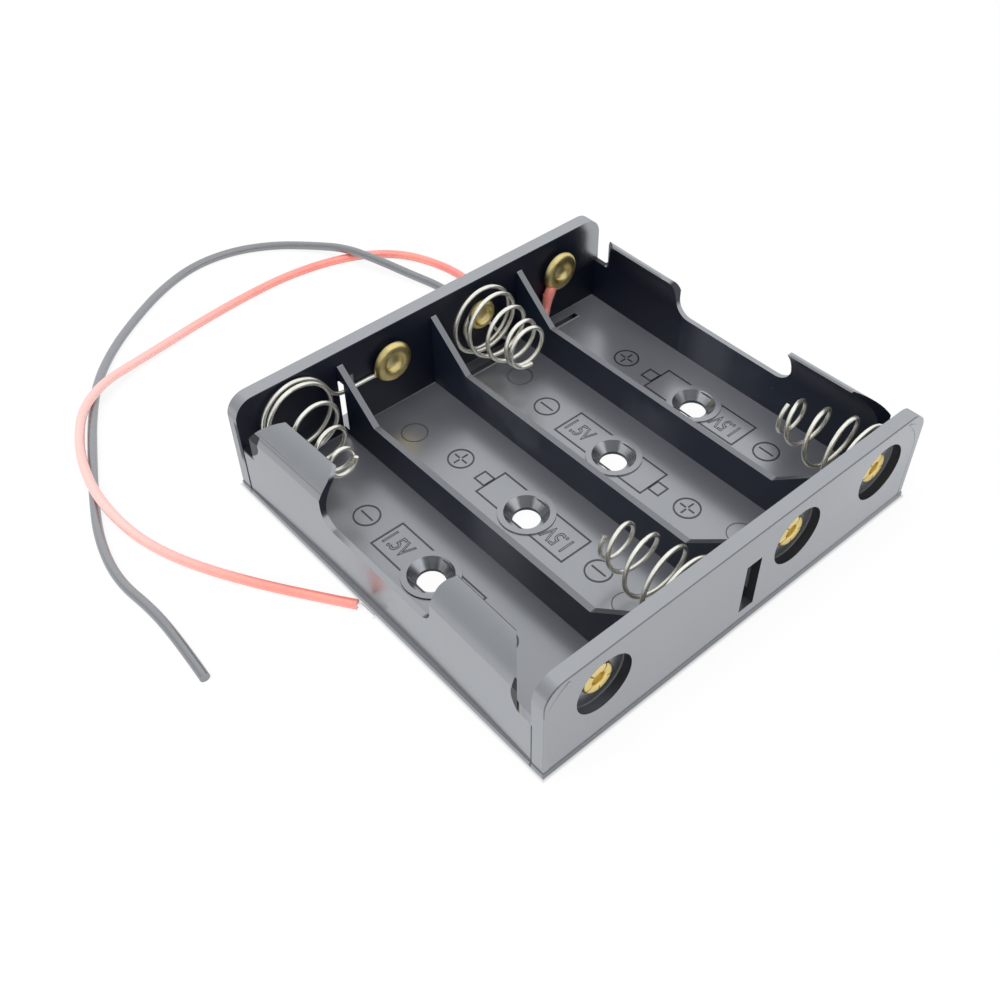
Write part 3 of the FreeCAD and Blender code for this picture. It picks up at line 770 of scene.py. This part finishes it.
floor_marks = [
    row_marks("a", -1, plus=(-23.4, -13.7), minus=(-23.3, 12.8), cell_middle=0.57, nub_length=1.75),
    row_marks("b", 1, plus=(-7.75, 12.8), minus=(-7.7, -13.4), cell_middle=-1.25, nub_length=1.85),
    row_marks("c", -1, plus=(8.05, -13.4), minus=(7.85, 12.85), cell_middle=0.57, nub_length=1.75),
    row_marks("d", 1, plus=(23.55, 12.85), minus=(23.55, -13.3), cell_middle=-1.25, nub_length=1.85),
    joined([ring_mark(x, y, ejector_line) for x, y in ejector_places], "ejector_rings", ejector_height),
]
for marks in floor_marks:
    dress(marks, mark_black)
    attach(marks, "root")


# Stage and light

cool_white = (0.91, 0.95, 1.0)
soft_white = (0.79, 0.82, 0.87)
dim_white = (0.58, 0.61, 0.65)
contact_shadow_grey = (0.36, 0.37, 0.39)


def white_ground():
    """A pale floor that shows white, with a painted contact shadow as a grey line round the housing's foot, a
    soft shadow, and painted light beside the housing's left side that only reflections see.
    """
    deselect()
    bpy.ops.mesh.primitive_plane_add(size=3, location=(0, 0, -0.00003))
    ground = bpy.context.object
    ground.name = "ground"
    finish = Finish("ground_white", Base_Color=(0.86, 0.86, 0.86), Roughness=0.9, Specular_IOR_Level=0.0)
    seen, mirrored = finish.seen_rays()
    x, y = finish.split(finish.place)[:2]
    off_edge = (x.size() - foot_x * mm).larger(y.size() - foot_y * mm)
    # Painted shadow: a grey line just outside the housing's foot
    contact_shadow = off_edge.rise(-2, -1) * (1 - off_edge.rise(-0.2, 0.5))
    # Painted light: in reflections the floor is whiter beside the housing's left side
    beside = x.rise(-46, -33) * (1 - x.rise(-32, -29))
    reflected = finish.mix(beside, soft_white, cool_white)
    plain = finish.mix(contact_shadow, (1, 1, 1), contact_shadow_grey)
    glow = finish.node("Emission", None, {"Color": finish.mix(mirrored, plain, reflected), "Strength": 1.0})
    mixed = finish.node("MixShader", None, {0: seen * 0.86, 1: finish.shader.outputs[0], 2: glow.outputs[0]})
    output = finish.tree.nodes["Material Output"]
    finish.feed(output.inputs["Surface"], mixed.outputs[0])
    dress(ground, finish.material)


def white_world(level):
    """White to the camera, cool white in reflections, and a plain level of light on the object."""
    world = bpy.data.worlds.new("studio")
    bpy.context.scene.world = world
    sky = Nodes(world)
    seen, mirrored = sky.seen_rays()
    across = sky.split(sky.node("TexCoord").outputs["Generated"])[0]
    reflected = sky.mix(across.between(-0.9, 0.1), dim_white, cool_white)
    background = sky.tree.nodes["Background"]
    sky.feed(background.inputs["Color"], sky.mix(mirrored, (1, 1, 1), reflected))
    sky.feed(background.inputs["Strength"], level + (1 - level) * seen)


def soft_lamp(name, place, size, power):
    """A square lamp that faces the origin."""
    data = bpy.data.lights.new(name, "AREA")
    data.size = size
    data.energy = power
    lamp = new_object(name, data)
    lamp.location = place
    lamp.rotation_mode = "QUATERNION"
    lamp.rotation_quaternion = Vector(place).to_track_quat("Z", "Y")
    lamp.visible_glossy = False


white_ground()
white_world(level=0.75)
soft_lamp("lamp_over", place=(-0.12, -0.02, 0.45), size=0.35, power=1.3)
soft_lamp("lamp_left", place=(-0.45, -0.15, 0.25), size=0.25, power=0.7)
bpy.context.scene.view_settings.view_transform = "Standard"

bpy.context.view_layer.update()
